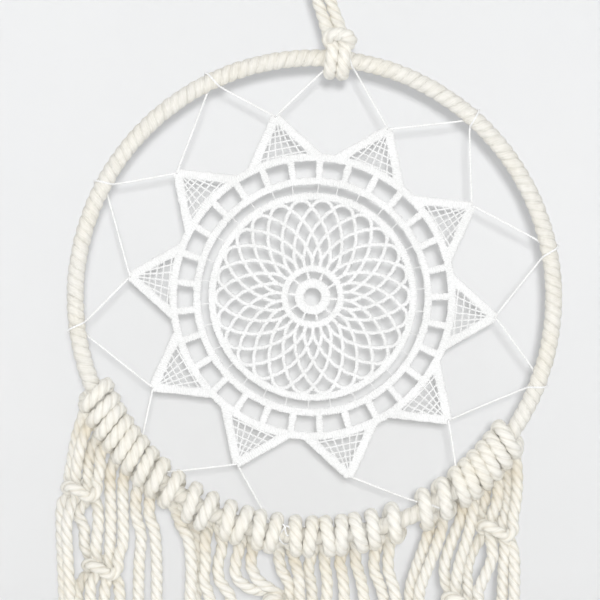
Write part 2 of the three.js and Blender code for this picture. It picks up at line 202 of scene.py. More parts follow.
def tube_mesh(name, rings, line, girth):
    """A closed tube through rings of points round a line, with its UVs in mm round and along it."""
    count, sides = rings.shape[:2]
    points = np.vstack([rings.reshape(-1, 3), line[:1], line[-1:]])

    ring, side = np.meshgrid(np.arange(count - 1), np.arange(sides), indexing="ij")
    after = (side + 1) % sides
    quads = np.stack(
        [ring * sides + side, ring * sides + after, (ring + 1) * sides + after, (ring + 1) * sides + side], -1
    ).reshape(-1, 4)
    around = np.arange(sides)
    first, last = count * sides, count * sides + 1
    start_cap = np.stack([np.full(sides, first), (around + 1) % sides, around], -1)
    end_cap = np.stack(
        [np.full(sides, last), (count - 1) * sides + around, (count - 1) * sides + (around + 1) % sides], -1
    )

    travelled = along_line(line)
    u = np.stack([side, side + 1, side + 1, side], -1).reshape(-1) * (girth / sides)
    v = travelled[np.stack([ring, ring, ring + 1, ring + 1], -1).reshape(-1)]
    caps = np.zeros((6 * sides, 2))
    uv = np.vstack([np.column_stack([u, v]), caps])

    mesh = bpy.data.meshes.new(name)
    mesh.vertices.add(len(points))
    mesh.vertices.foreach_set("co", (points * MM).astype(np.float32).ravel())
    corners = np.concatenate([quads.ravel(), start_cap.ravel(), end_cap.ravel()])
    sizes = np.concatenate([np.full(len(quads), 4), np.full(2 * sides, 3)])
    mesh.loops.add(len(corners))
    mesh.loops.foreach_set("vertex_index", corners.astype(np.int32))
    mesh.polygons.add(len(sizes))
    mesh.polygons.foreach_set("loop_start", np.concatenate([[0], np.cumsum(sizes)[:-1]]).astype(np.int32))
    mesh.update(calc_edges=True)
    layer = mesh.uv_layers.new(name="along")
    layer.data.foreach_set("uv", uv.astype(np.float32).ravel())
    mesh.polygons.foreach_set("use_smooth", np.ones(len(sizes), bool))
    return mesh


def add_value(mesh, name, values):
    attribute = mesh.attributes.new(name, "FLOAT", "POINT")
    attribute.data.foreach_set("value", values.astype(np.float32))


def show(name, mesh, material):
    mesh.materials.append(material)
    thing = bpy.data.objects.new(name, mesh)
    bpy.context.scene.collection.objects.link(thing)
    return thing


def rounded_ends(line, radius, joined=None):
    """A size for each point of a cord: full, and drawn in over the last millimetres at a cut end.

    joined is "start" or "end" for an end that meets the cord's other half.
    """
    travelled = along_line(line)
    left = travelled[-1] - travelled
    to_end = {"start": left, "end": travelled, None: np.minimum(travelled, left)}[joined]
    near = np.clip(to_end / radius, 0, 1)
    return np.sqrt(np.clip(1 - (1 - near) ** 2, 0.05, 1))


def rope_mesh(name, line, below_knot_tint=None, lay=CORD_LAY, knotted=None, joined=None):
    """A three-ply cord with an S twist along a line.

    knotted is 1 at the points where a knot presses the cord wider and its plies together.
    """
    travelled = along_line(line)
    turns = -2 * math.pi * travelled / lay + random.uniform(0, 2 * math.pi)
    knotted = np.zeros(len(line)) if knotted is None else knotted
    size = rounded_ends(line, CUT_END, joined) * (1 + KNOT_SWELL * knotted)
    extra = ("below_knot_tint", np.zeros(len(line)) if below_knot_tint is None else below_knot_tint)
    section = lobed_section(3, CORD_RADIUS)
    return sweep(name, line, section, turns, scale=size, soft=KNOT_SOFTNESS * knotted, extra=extra)


# ---------- Materials ----------


class Nodes:
    """A short way to write a material's node tree."""

    def __init__(self, name):
        self.material = bpy.data.materials.new(name)
        self.material.use_nodes = True
        self.tree = self.material.node_tree
        self.shader = self.tree.nodes["Principled BSDF"]
        self.output = self.tree.nodes["Material Output"]

    def add(self, kind, links=None, **settings):
        node = self.tree.nodes.new(kind)
        for name, value in settings.items():
            setattr(node, name, value)
        for socket, value in (links or {}).items():
            self.set(node, socket, value)
        return node

    def set(self, node, socket, value):
        if isinstance(value, bpy.types.NodeSocket):
            self.tree.links.new(value, node.inputs[socket])
        else:
            node.inputs[socket].default_value = value

    def ramp(self, factor, stops):
        node = self.add("ShaderNodeValToRGB", {"Fac": factor})
        ramp = node.color_ramp
        while len(ramp.elements) < len(stops):
            ramp.elements.new(0.5)
        for element, (position, colour) in zip(ramp.elements, stops):
            element.position = position
            element.color = (*colour, 1)
        return node.outputs["Color"]

    def blend(self, factor, first, second, mode="MIX"):
        node = self.add("ShaderNodeMix", data_type="RGBA", blend_type=mode)
        for index, value in ((0, factor), (6, first), (7, second)):
            self.set(node, index, value)
        return node.outputs[2]

    def noise(self, vector, scale, detail=3.0, roughness=0.55):
        values = {"Vector": vector, "Scale": scale, "Detail": detail, "Roughness": roughness}
        return self.add("ShaderNodeTexNoise", values).outputs["Fac"]

    def stretched(self, vector, scale):
        return self.add("ShaderNodeMapping", {"Vector": vector, "Scale": scale}).outputs["Vector"]

    def value(self, name):
        return self.add("ShaderNodeAttribute", attribute_name=name).outputs["Fac"]

    def bump(self, height, strength, distance, normal=None):
        node = self.add("ShaderNodeBump", {"Height": height, "Strength": strength, "Distance": distance})
        if normal is not None:
            self.set(node, "Normal", normal)
        return node.outputs["Normal"]


def cotton_material(name, crest, painted_groove_shade, tinted_below_knots):
    """Soft cotton plies: fine fibres along each ply, painted shade in the grooves between them (darker and
    warmer), a little fuzzy.
    """
    nodes = Nodes(name)
    fibres = nodes.add("ShaderNodeUVMap", uv_map="along").outputs["UV"]
    place = nodes.add("ShaderNodeTexCoord").outputs["Object"]
    strands = nodes.noise(nodes.stretched(fibres, (1.7, 0.16, 1)), 1.0, 5.0, 0.75)
    threads = nodes.noise(nodes.stretched(fibres, (5.0, 0.5, 1)), 1.0, 2.0)
    patches = nodes.noise(place, 45.0, 2.0)
    # Painted shade: the crest value darkens the colour towards the shade colour in the grooves between the
    # plies.
    colour = nodes.ramp(nodes.value("crest"), [(0.0, painted_groove_shade), (0.62, crest), (1.0, crest)])
    streaks = nodes.ramp(strands, [(0.36, (0.80, 0.785, 0.74)), (0.56, (1, 1, 1))])
    colour = nodes.blend(0.55, colour, streaks, "MULTIPLY")
    warmth = nodes.ramp(patches, [(0.38, (1, 1, 1)), (0.72, (0.985, 0.965, 0.915))])
    colour = nodes.blend(0.8, colour, warmth, "MULTIPLY")
    # A faint brownish tint just below each knot, of a strength that differs from cord to cord.
    if tinted_below_knots:
        colour = nodes.blend(nodes.value("below_knot_tint"), colour, (0.70, 0.60, 0.42, 1))
    nodes.set(nodes.shader, "Base Color", colour)
    coarse = nodes.bump(strands, 0.9, 0.0006)
    nodes.set(nodes.shader, "Normal", nodes.bump(threads, 0.45, 0.0002, coarse))
    nodes.set(nodes.shader, "Roughness", 0.92)
    nodes.set(nodes.shader, "Specular IOR Level", 0.2)
    nodes.set(nodes.shader, "Sheen Weight", 0.22)
    nodes.set(nodes.shader, "Sheen Roughness", 0.45)
    return nodes.material


def thread_material(name, colour, grain):
    """White thread: a soft gloss over fine filaments. grain is their scale round and along the piece."""
    nodes = Nodes(name)
    fibres = nodes.add("ShaderNodeUVMap", uv_map="along").outputs["UV"]
    place = nodes.add("ShaderNodeTexCoord").outputs["Object"]
    filaments = nodes.noise(nodes.stretched(fibres, (*grain, 1)), 1.0, 3.0)
    patches = nodes.noise(place, 90.0, 2.0)
    tone = nodes.ramp(patches, [(0.35, (0.95, 0.95, 0.945)), (0.65, (1, 1, 1))])
    lines = nodes.ramp(filaments, [(0.32, (0.86, 0.86, 0.855)), (0.56, (1, 1, 1))])
    base = nodes.blend(1.0, (*colour, 1), tone, "MULTIPLY")
    nodes.set(nodes.shader, "Base Color", nodes.blend(0.8, base, lines, "MULTIPLY"))
    nodes.set(nodes.shader, "Normal", nodes.bump(filaments, 0.9, 0.0003))
    nodes.set(nodes.shader, "Roughness", 0.7)
    nodes.set(nodes.shader, "Specular IOR Level", 0.3)
    nodes.set(nodes.shader, "Sheen Weight", 0.12)
    return nodes.material


def steel_material():
    """Drawn steel wire, with faint lines along it."""
    nodes = Nodes("drawn_steel")
    place = nodes.add("ShaderNodeTexCoord").outputs["Object"]
    lines = nodes.noise(nodes.stretched(place, (400, 3000, 400)), 1.0, 3.0)
    colour = nodes.ramp(lines, [(0.3, (0.45, 0.46, 0.47)), (0.7, (0.6, 0.61, 0.62))])
    nodes.set(nodes.shader, "Base Color", colour)
    nodes.set(nodes.shader, "Normal", nodes.bump(lines, 0.2, 0.0001))
    nodes.set(nodes.shader, "Metallic", 1.0)
    nodes.set(nodes.shader, "Roughness", 0.35)
    return nodes.material


def backdrop_material():
    """Pale matt card. Its back is clear, so that the object also shows from behind."""
    nodes = Nodes("backdrop_card")
    place = nodes.add("ShaderNodeTexCoord").outputs["Object"]
    grain = nodes.noise(place, 6.0, 3.0)
    colour = nodes.ramp(grain, [(0.2, (0.775, 0.78, 0.785)), (0.8, (0.80, 0.802, 0.805))])
    nodes.set(nodes.shader, "Base Color", colour)
    nodes.set(nodes.shader, "Roughness", 0.9)
    nodes.set(nodes.shader, "Specular IOR Level", 0.1)
    back = nodes.add("ShaderNodeNewGeometry").outputs["Backfacing"]
    clear = nodes.add("ShaderNodeBsdfTransparent").outputs["BSDF"]
    mix = nodes.add("ShaderNodeMixShader")
    for index, value in ((0, back), (1, nodes.shader.outputs["BSDF"]), (2, clear)):
        nodes.set(mix, index, value)
    nodes.set(nodes.output, "Surface", mix.outputs["Shader"])
    return nodes.material


# ---------- Lark's head knots ----------


def larks_head_half(angle, spread, side, facing=1, bar_out=2.0, sag=1.0, lean=0.0, splay=0.0):
    """One half of a cord's lark's head, from just past its bar's middle to where it leaves the knot.

    side is -1 or 1, along the hoop. facing is 1 with the bar behind the hoop, -1 in front. The
    middle of the bar sags (1) or arches (-1). lean slants both turns over the hoop, and splay
    spreads their outer ends apart.
    """
    around = WRAP_RADIUS + CORD_RADIUS
    half = spread / 2

    def turn(degrees, along=None):
        depth = around * math.cos(math.radians(degrees)) * facing
        out = around * math.sin(math.radians(degrees))
        if along is None:
            along = side * (half + splay * out) + lean * out
        return on_hoop(angle, along, depth, out)

    bar = around + 0.86 * CORD_DIAMETER
    return [
        on_hoop(angle, -0.8 * side, facing * bar, bar_out),
        on_hoop(angle, side * 2.9, facing * (bar - 0.4), bar_out + 0.5 * sag),
        on_hoop(angle, side * max(4.6, half + 1.4), facing * (bar - 3.4), bar_out + 2.3 * sag),
        on_hoop(angle, side * (half + 1.1) + lean * 5, facing * 3.4, 6.0),
        turn(95), turn(135), turn(180), turn(225), turn(268),
        turn(312, side * max(2.6, 0.85 * half)),
        turn(355, side * 2.5),
        on_hoop(angle, side * 2.45, facing * (around + 0.1), 3.6),
    ]


# ---------- The hanging cord ----------

HANGING_KNOT = {"angle": 84.5, "spread": 5.0, "facing": -1, "bar_out": 9.4, "sag": -0.9}
HANGING_KNOT_TOP = -108  # Z where the legs start to widen into the knot
LEG_OFFSET = 2.65  # from the middle between the legs to each leg's middle line
LEGS_ROUTE = [
    [0, 0, -44.5], [0.3, -0.3, -56], [2.2, -1.2, -70], [5.6, -2.6, -85], [10, -4, -102], [13.9, -5.6, -114],
]
LOOP_ROUTE = [
    [-3.0, 0, -30], [-3.2, 0, -24.6], [-6.4, 0, -17], [-10, 0, -8], [-7.2, 0, -0.5], [0, 0, 2.5],
    [7.2, 0, -0.5], [10, 0, -8], [6.4, 0, -17], [3.2, 0, -24.6], [3.0, 0, -30],
]
TOP_KNOT = {"top": -27.5, "bottom": -40.5, "radius": 5.3, "turns": 3.0}


def hanging_loop(material):
    line = smooth(LOOP_ROUTE, CORD_STEP)
    loop = show("hanging_loop_cord", rope_mesh("hanging_loop_cord", line), material)
    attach(loop, "loop")
    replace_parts(loop, "hanging_loop")


def top_knot(material):
    """The cord wound round its two legs, its ends tucked inside."""
    top, bottom, radius, turns = (TOP_KNOT[key] for key in ("top", "bottom", "radius", "turns"))
    places = [[1.0, 1.0, top - 2]]
    steps = round(12 * turns)
    for step in range(steps + 1):
        share = step / steps
        angle = 2 * math.pi * turns * share - math.pi / 2
        places.append([radius * math.cos(angle), radius * math.sin(angle), top + (bottom - top) * share])
    places.append([0.5, 1.5, bottom + 1])
    line = smooth(places, CORD_STEP)
    knot = show("top_knot_cord", rope_mesh("top_knot_cord", line), material)
    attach(knot, "loop")
    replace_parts(knot, "top_knot")


def hanging_leg(side, name, material):
    """One leg, from the top knot down to the hoop and through its half of the knot there."""
    route = [np.array([0, 0, -38.5]) + [side * LEG_OFFSET * 0.8, 0, 0]]
    route += [np.array([x + side * LEG_OFFSET, y, z]) for x, y, z in LEGS_ROUTE]
    # At the top of the hoop, onwards along it is to the left.
    half = larks_head_half(side=-side, **HANGING_KNOT)
    route += [place + HOOP_CENTRE for place in reversed(half)]
    line = smooth(route, CORD_STEP)
    knotted = np.clip((HANGING_KNOT_TOP - line[:, 2]) / KNOT_FADE, 0, 1)
    leg = show(name + "_cord", rope_mesh(name + "_cord", line, knotted=knotted, joined="end"), material)
    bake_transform(leg)
    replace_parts(leg, name)
    return leg


# ---------- The fringe ----------

# Square knots: [X, Z] of each knot's middle, from the hoop's middle.
SQUARE_KNOTS = {
    "a": [-96.3, -79.6], "b": [-87.7, -111.8], "c": [-12.6, -126.5], "d": [75.5, -95.7], "e": [61.2, -125.4],
}

# How each tail passes its knot, from the knot's middle. The working cord comes in from the right,
# crosses in front, turns round the back and leaves to the right again.
PASSES = {
    "left": [[-2.7, 5, 3], [-2.6, 5, 0], [-2.7, 5, -3]],
    "right": [[2.7, 5, 3], [2.6, 5, 0], [2.7, 5, -3]],
    "back": [[-5.6, 8.2, 4.2], [-3.4, 10.4, 2.4], [0, 10.6, 1.8], [-3.4, 10.8, -1.6]],
    "front": [
        [6.4, 1.8, 3.4], [6.4, 0, -0.6], [3.6, -0.9, -2.9], [0, -0.9, -0.9], [-3.9, -0.3, 1.2],
        [-6.6, 4.4, 1.0], [-4.2, 9.6, -2.6], [0.6, 10.2, -4.4], [5.2, 8.2, -5.2],
    ],
}


def through(knot, lane):
    x, z = SQUARE_KNOTS[knot]
    return [[x + across, depth, z + up] for across, depth, up in PASSES[lane]]


# The cords of the fringe: the angle of each on the hoop, the distance between its turns, the group
# its tails sway with, the slant of its turns and, where its turns spread apart outwards, how much
# (splay). Then its two tails, as points from the hoop's middle.
FRINGE = [
    {
        "angle": 206.1, "spread": 6.5, "side": "left", "lean": 0.38,
        "left": [
            [-97.2, 7, -53], [-99, 7.5, -59], [-101, 7.5, -69.5], *through("a", "back"),
            [-104.5, 8.5, -85], [-105, 6.5, -96], [-104.5, 6.5, -110], [-104, 6, -127], [-106, 5.5, -167],
            [-106.5, 5.5, -354],
        ],
        "right": [
            [-94.9, 2.5, -56], [-97, 2.5, -63], [-98.6, 3.5, -71.5], *through("a", "left"),
            [-101, 4, -86.5], [-102.3, 1, -93.5], [-102, 0.5, -104.5], [-101, 1, -127], [-101.5, 2.5, -167],
            [-101.5, 2.5, -351],
        ],
    },
    {
        "angle": 213, "spread": 5.9, "side": "left", "lean": 0.38,
        "left": [
            [-92, 7, -62], [-93.7, 6, -68], [-93.8, 5, -73], *through("a", "right"),
            [-95, 7.3, -84.5], [-98, 7.5, -90], [-95.6, 6.5, -96], [-95.4, 7.0, -103],
            *through("b", "back"), [-96, 9, -117], [-98.4, 6.5, -122], [-97.6, 5.5, -130], [-96, 5.5, -167],
            [-96, 5.5, -355],
        ],
        "right": [
            [-88.5, 2, -64.5], [-88.6, 1.5, -71], *through("a", "front"),
            [-89.6, 4.6, -92], [-90.4, 4, -103], *through("b", "left"),
            [-92.3, 3.5, -118], [-92.7, 3.5, -127], [-90.5, 5, -167], [-90.5, 5, -350],
        ],
    },
    {
        "angle": 219.65, "spread": 5.7, "side": "left", "lean": 0.38,
        "left": [
            [-84.4, 5, -71.5], [-84.7, 5, -77], [-84.4, 5, -91], [-84.7, 5, -102], *through("b", "right"),
            [-86.3, 5, -118], [-87.2, 5, -127], [-85, 5, -167], [-85, 5, -353],
        ],
        "right": [
            [-79.2, 5, -76], [-79.3, 5, -91], [-79.4, 3.6, -102], *through("b", "front"),
            [-80.8, 5.6, -123], [-79.8, 5, -167], [-79.8, 5, -356],
        ],
    },
    {
        "angle": 226.95, "spread": 6.7, "side": "left", "lean": 0.34,
        "left": [
            [-73.9, 5, -82.5], [-73.8, 5, -91], [-71.9, 5, -98], [-72.6, 5, -110], [-73, 5, -127],
            [-73.8, 5, -167], [-74, 5, -352],
        ],
        "right": [
            [-68.4, 5, -86.5], [-68.3, 5, -91], [-66.4, 5, -96.5], [-65.4, 5, -110], [-65.4, 5, -127],
            [-66.5, 5, -167], [-67.5, 5, -354],
        ],
    },
    {
        "angle": 236.2, "spread": 10, "side": "middle", "lean": 0.2, "splay": 0.1,
        "left": [
            [-55.2, 4, -94.8], [-52.6, 2.5, -99], [-51, 2, -110], [-51.6, 2.5, -127], [-53.3, 3, -146],
            [-54.8, 5, -167], [-56, 5, -351],
        ],
        "right": [
            [-49.2, 8, -98], [-48.6, 7.5, -103], [-48.8, 7.5, -115], [-49.2, 7.5, -127], [-49.2, 6.8, -146],
            [-49.3, 5, -167], [-50.5, 5, -355],
        ],
    },
    {
        "angle": 246, "spread": 9.8, "side": "middle", "lean": 0.1, "splay": 0.14,
        "left": [
            [-45.2, 3, -100.5], [-45.1, 3.3, -109], [-45.6, 3, -117.5], [-43.4, 3.5, -125], [-43.6, 5, -167],
            [-44.5, 5, -350],
        ],
        "right": [
            [-38.3, 5, -103.3], [-40, 5.5, -111.5], [-39.2, 5, -117.5], [-34.6, 5, -125], [-33, 5, -167],
            [-32.5, 5, -356],
        ],
    },
    {
        "angle": 254.4, "spread": 7.4, "side": "middle", "lean": 0, "splay": 0.16,
        "left": [
            [-31.4, 5, -105.2], [-32.6, 5, -110], [-32.3, 5, -116], [-26.5, 6.5, -121],
            *through("c", "back"), [-20, 8.9, -133], [-24.7, 5, -167], [-26, 5, -352],
        ],
        "right": [
            [-26, 5, -107], [-26.3, 5, -111], [-23.6, 5, -117], *through("c", "left"),
            [-17.2, 4.5, -135], [-18.8, 5, -167], [-20, 5, -354],
        ],
    },
    {
        "angle": 262.8, "spread": 9.3, "side": "middle", "lean": 0, "splay": 0.16,
        "left": [
            [-14.5, 5, -109.5], [-13.2, 5, -114], [-10.6, 5, -118.5], *through("c", "right"),
            [-11.3, 5, -134], [-13.1, 5, -167], [-14.2, 5, -351],
        ],
        "right": [
            [-8.1, 4, -109.8], [-6.6, 3.0, -115], *through("c", "front"),
            [-6.3, 5.4, -137], [-7.2, 5, -147], [-7.3, 5, -167], [-8, 5, -355],
        ],
    },
    {
        "angle": 271.1, "spread": 7.2, "side": "middle", "lean": 0, "splay": 0.16,
        "left": [
            [-2, 5.5, -110], [-2.4, 6.5, -114], [-1.4, 7.6, -119], [-0.9, 7.8, -127], [-1.5, 7, -147],
            [-1.5, 5, -167], [-1, 5, -350],
        ],
        "right": [
            [4.2, 5, -110], [5.3, 5, -117.5], [5, 5, -127], [5, 5, -167], [5, 5, -356],
        ],
    },
    {
        "angle": 278.5, "spread": 7.1, "side": "middle", "lean": 0, "splay": 0.16,
        "left": [
            [10.5, 5, -109.5], [11.7, 5, -115.5], [12.5, 5, -127], [12, 5, -167], [11.5, 5, -353],
        ],
        "right": [
            [17, 5, -109], [19.2, 5, -117], [20.7, 5, -127], [19.5, 5, -167], [18.5, 5, -351],
        ],
    },
    {
        "angle": 286.8, "spread": 9.1, "side": "middle", "lean": -0.15,
        "left": [
            [24.9, 5, -107.2], [24.9, 5, -113.5], [27.3, 5, -119.5], [28.8, 5, -127], [26.7, 5, -167],
            [25.5, 5, -355],
        ],
        "right": [
            [30.8, 5, -105.6], [30.7, 5, -113.5], [32.6, 4, -119.5], [33.8, 3, -127], [33, 4.5, -167],
            [32.5, 5, -350],
        ],
    },
    {
        "angle": 300.2, "spread": 9.1, "side": "right", "lean": -0.4,
        "left": [
            [47, 6, -99], [42.6, 7, -111.5], [40, 7.5, -120], [39.4, 7, -127], [39.3, 6, -167],
            [39, 5, -354],
        ],
        "right": [
            [52.4, 3.3, -96.5], [50.2, 3, -104], [47.2, 3, -111.5], [43.6, 2.8, -121], [43.4, 3, -127],
            [45.6, 4.5, -167], [45.5, 5, -351],
        ],
    },
    {
        "angle": 309.15, "spread": 5.3, "side": "right", "lean": -0.35,
        "left": [
            [60.8, 6, -91.5], [58.2, 6, -98], [54.2, 6, -110], [54.2, 7, -116.5], *through("e", "back"),
            [56.2, 9.6, -130], [53.5, 8.2, -135], [51.8, 5, -167], [52, 5, -356],
        ],
        "right": [
            [65.6, 3, -87.9], [63.7, 3, -98], [60.1, 3, -110], [58.7, 4, -118], *through("e", "left"),
            [58, 5, -133], [58, 5, -167], [58.5, 5, -352],
        ],
    },
    {
        "angle": 315.45, "spread": 5.2, "side": "right", "lean": -0.35,
        "left": [
            [70.8, 7, -84], [69.4, 8, -89], *through("d", "back"),
            [67.2, 8.2, -103], [64.5, 7.5, -108.5], [63.3, 6.6, -115], *through("e", "right"),
            [63.8, 5, -133], [64.2, 5, -167], [64.5, 5, -355],
        ],
        "right": [
            [76, 4, -79.4], [75.5, 4, -85], [73.6, 4.5, -90.5], *through("d", "left"),
            [73.2, 3.4, -102], [73.6, 2.6, -107.5], [70.6, 1.8, -115], *through("e", "front"),
            [68.6, 5.2, -136], [70.4, 5, -167], [70.5, 5, -351],
        ],
    },
    {
        "angle": 321.9, "spread": 5.9, "side": "right", "lean": -0.35,
        "left": [
            [80.3, 8, -75.8], [79.9, 7.7, -83], [79.0, 6.2, -89.5], *through("d", "right"),
            [78.8, 6, -102.5], [78.6, 6, -108.5], [77.9, 6.3, -125], [77, 5, -167], [77, 5, -354],
        ],
        "right": [
            [83.8, 4, -71.3], [83.9, 3.3, -79], [83.0, 2.6, -87], *through("d", "front"),
            [82.6, 5.2, -106], [82.8, 4, -125], [83, 5, -167], [83, 5, -350],
        ],
    },
]

KNOT_END = 11  # down from the hoop's middle line to where a cord is back to its own width
TINT_DROP = 12  # down from the same line to the middle of the faint brownish tint below each knot
TINT_REACH = 7.0  # how far up and down the tint spreads


def fringe_line(cord, tail):
    """A fringe cord's half, from just past its bar's middle, behind the hoop, to its cut end."""
    side = -1 if tail == "left" else 1
    half = larks_head_half(cord["angle"], cord["spread"], side, lean=cord["lean"], splay=cord.get("splay", 0))
    route = cord[tail]
    last, first = half[-1], np.array(route[0], float)
    # The cord leaves its knot a little behind both its last turn and the tail's first point.
    between = 0.55 * last + 0.45 * first
    between[1] = max(last[1], first[1]) + 0.2
    places = [*half, between, *route]
    return smooth([HOOP_CENTRE + place for place in places], CORD_STEP)


def fringe_half(number, cord, tail, material):
    line = fringe_line(cord, tail)
    name = f"fringe_cord_{number:02d}_{tail}"
    knot_z = on_hoop(cord["angle"])[2] + HOOP_CENTRE[2]
    from_tint = np.abs(knot_z - TINT_DROP - line[:, 2])
    below_knot_tint = np.clip(1 - from_tint / TINT_REACH, 0, 1) * random.uniform(0.1, 0.45)
    knotted = np.clip((line[:, 2] - (knot_z - KNOT_END)) / KNOT_FADE, 0, 1)
    lay = CORD_LAY * random.uniform(0.93, 1.07)
    half = show(name, rope_mesh(name, line, below_knot_tint, lay, knotted, joined="start"), material)
    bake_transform(half)
    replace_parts(half, f"fringe_tail_{number:02d}_{tail}")
    return half


def fringe(material):
    for number, cord in enumerate(FRINGE, start=1):
        left = fringe_half(number, cord, "left", material)
        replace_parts(left, f"fringe_knot_{number:02d}")
        fringe_half(number, cord, "right", material)


# ---------- The wound hoop ----------

WINDING = {
    "strands": 2,
    "width": 4.2,
    "thickness": 0.6,  # a share of the width
    "pitch": 8.0,  # along the hoop, from one turn of a strand to its next
    "gap": 0.7,  # degrees left free on each side of the hanging knot's middle
    "wobble": 0.22,  # how far a turn strays (radians)
    "swell": (0.90, 1.08),  # the least and the most of its width
}
RINGS_PER_TURN = 26
WOBBLE_COUNT = 150
SWELL_COUNT = 1100


def winding_strand(name, phase, material):
    """One of the soft cords laid side by side round the wire, close enough to hide it."""
    turns = 2 * math.pi * HOOP_RADIUS / WINDING["pitch"]
    section = round_section(WINDING["width"] / 2, 14)
    radius = WRAP_RADIUS - WINDING["width"] / 2 * WINDING["thickness"]
    count = round(turns * RINGS_PER_TURN)
    share = np.linspace(0, 1, count)
    start = HANGING_KNOT["angle"] + WINDING["gap"]
    around = np.radians(start + share * (360 - 2 * WINDING["gap"]))
    wobbles = random.uniform(-WINDING["wobble"], WINDING["wobble"], WOBBLE_COUNT)
    wobble = np.interp(share, np.linspace(0, 1, WOBBLE_COUNT), wobbles)
    swells = random.uniform(*WINDING["swell"], SWELL_COUNT)
    swell = np.interp(share, np.linspace(0, 1, SWELL_COUNT), swells)
    roll = -2 * math.pi * turns * share + wobble + phase
    outwards = np.column_stack([np.cos(around), np.zeros(count), np.sin(around)])
    normals = outwards * np.cos(roll)[:, None] + np.array([0, 1.0, 0]) * np.sin(roll)[:, None]
    line = HOOP_CENTRE + outwards * HOOP_RADIUS + normals * radius
    tangents = unit(np.gradient(line, axis=0))
    normals = unit(normals - (normals * tangents).sum(1)[:, None] * tangents)
    mesh = sweep(name, line, section, np.zeros(count), normals, WINDING["thickness"], swell)
    strand = show(name, mesh, material)
    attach(strand, "hoop")
    return strand


def winding(material):
    for index in range(WINDING["strands"]):
        phase = 2 * math.pi * index / WINDING["strands"]
        strand = winding_strand(f"winding_cord_{index + 1}", phase, material)
    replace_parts(strand, "ring_winding")


# ---------- The doily ----------

# Radii are from the doily's middle, and angles in degrees from +X towards +Z.
DOILY_CENTRE = np.array([-0.8, 0.0, 0.2])  # from the hoop's middle
FIRST_ANGLE = -6.4
SATIN_PITCH = 1.0
DISC_RADIUS = 59.2
RINGS = [(3.5, 7.4), (10.2, 13.0), (40.0, 43.0), (46.2, 49.3), (55.9, 59.2)]
SPOKES = {"count": 10, "inner": 7.0, "outer": 10.6, "width": 1.1}
WINDOW_BARS = {"count": 29, "inner": 48.6, "outer": 56.5, "width": 2.9}
HAIR_BRIDGES = {"count": 30, "first": 4, "inner": 42.4, "outer": 46.8, "radius": 0.24}
NET_ROWS = [12.6, 15.3, 20.7, 26.3, 31.7, 36.7]
LEAF_COUNT = 26
NET_THREAD = {"radius": 0.84, "thickness": 0.5, "stitch": 1.1}
POINT_COUNT = 10
POINT_TIP = 77.2
POINT_HALF_BASE = 15.5  # angle from a point's middle to its foot
POINT_BAND = 3.6  # width of its satin sides
POINT_THREAD = 0.4  # radius of the threads of its mesh
FAN_THREADS = 9
CROSS_THREADS = (0.17, 0.33, 0.48, 0.62, 0.75)  # shares of the way up a point


def polar(radius, degrees):
    angle = math.radians(degrees)
    return np.array([radius * math.cos(angle), 0, radius * math.sin(angle)])


def band_mesh(places, width, tooth=0.2, closed=False):
    """A flat raised band of satin stitch: threads lie side by side across it, and its edges are toothed."""
    line = evenly(np.array([*places, places[0]] if closed else places, float), SATIN_PITCH / 6)
    travelled = along_line(line)
    threads = int(travelled[-1] / SATIN_PITCH) + 2
    number = travelled / SATIN_PITCH
    ridge = np.abs(np.sin(math.pi * number))
    edge = np.interp(number, np.arange(threads), random.normal(0, tooth, threads)) + 0.5 * (ridge - 0.6)
    edge = 1 + edge / width
    crown = LACE_THICKNESS / width * (0.8 + 0.2 * ridge)
    angles = np.arange(14) * 2 * math.pi / 14
    radii = width / 2 / (np.abs(np.sin(angles)) ** 3 + np.abs(np.cos(angles)) ** 3) ** (1 / 3)
    section = angles, radii, np.ones(14)
    normals = np.tile([0, 1.0, 0], (len(line), 1))
    turns = np.zeros(len(line))
    return sweep("band", line + HOOP_CENTRE + DOILY_CENTRE, section, turns, normals, crown, edge)


def ring_places(radius, steps=180):
    return [polar(radius, 360 * step / steps) for step in range(steps)]


# One arch of the net's last row: radius, and share of the way from one leaf to the next.
ARCH = [(36.7, 0.0), (38.1, 0.1), (39.4, 0.27), (39.9, 0.5), (39.4, 0.73), (38.1, 0.9), (36.7, 1.0)]


def net_lines():
    """The net between the rosette and its ring: leaves in rows that step half a leaf each row."""
    pitch = 360 / LEAF_COUNT
    lines = []
    for index in range(LEAF_COUNT):
        angle = FIRST_ANGLE + index * pitch
        lines.append([polar(NET_ROWS[0], angle), polar(NET_ROWS[1], angle)])
        for row in range(1, len(NET_ROWS) - 1):
            shift = 0 if row % 2 else pitch / 2
            low, high = NET_ROWS[row], NET_ROWS[row + 1]
            for side in (-1, 1):
                start, end = angle + shift, angle + shift + side * pitch / 2
                middle = polar((low + high) / 2 + 0.25, start + side * pitch * 0.235)
                lines.append([polar(low, start), middle, polar(high, end)])
        lines.append([polar(radius, angle + share * pitch) for radius, share in ARCH])
    return lines


def point_angle(index):
    return FIRST_ANGLE + 360 / POINT_COUNT * index


def point_lines(angle):
    """The threads inside one point of the edge: a fan that narrows to the tip, and cross threads."""
    tip = polar(POINT_TIP - 2.5, angle)
    low = DISC_RADIUS - 1
    shares = np.linspace(-0.92, 0.92, FAN_THREADS)
    foot = [polar(low, angle + POINT_HALF_BASE * share) for share in shares]
    head = [tip + (place - polar(low, angle)) * 0.16 for place in foot]
    fan = [[start, end] for start, end in zip(foot, head)]
    cross = []
    for share in CROSS_THREADS:
        cross.append([start + (end - start) * share for start, end in (fan[0], fan[-1])])
    return fan + cross


def point_sides(angle):
    """The two satin sides of a point, meeting at its blunt tip."""
    feet = [polar(DISC_RADIUS - 1.4, angle + side * (POINT_HALF_BASE - 1.2)) for side in (-1, 1)]
    tip = polar(POINT_TIP - 1.6, angle)
    return [[foot, tip] for foot in feet]


def round_section(radius, sides):
    angles = np.arange(sides) * 2 * math.pi / sides
    return angles, np.full(sides, radius), np.ones(sides)


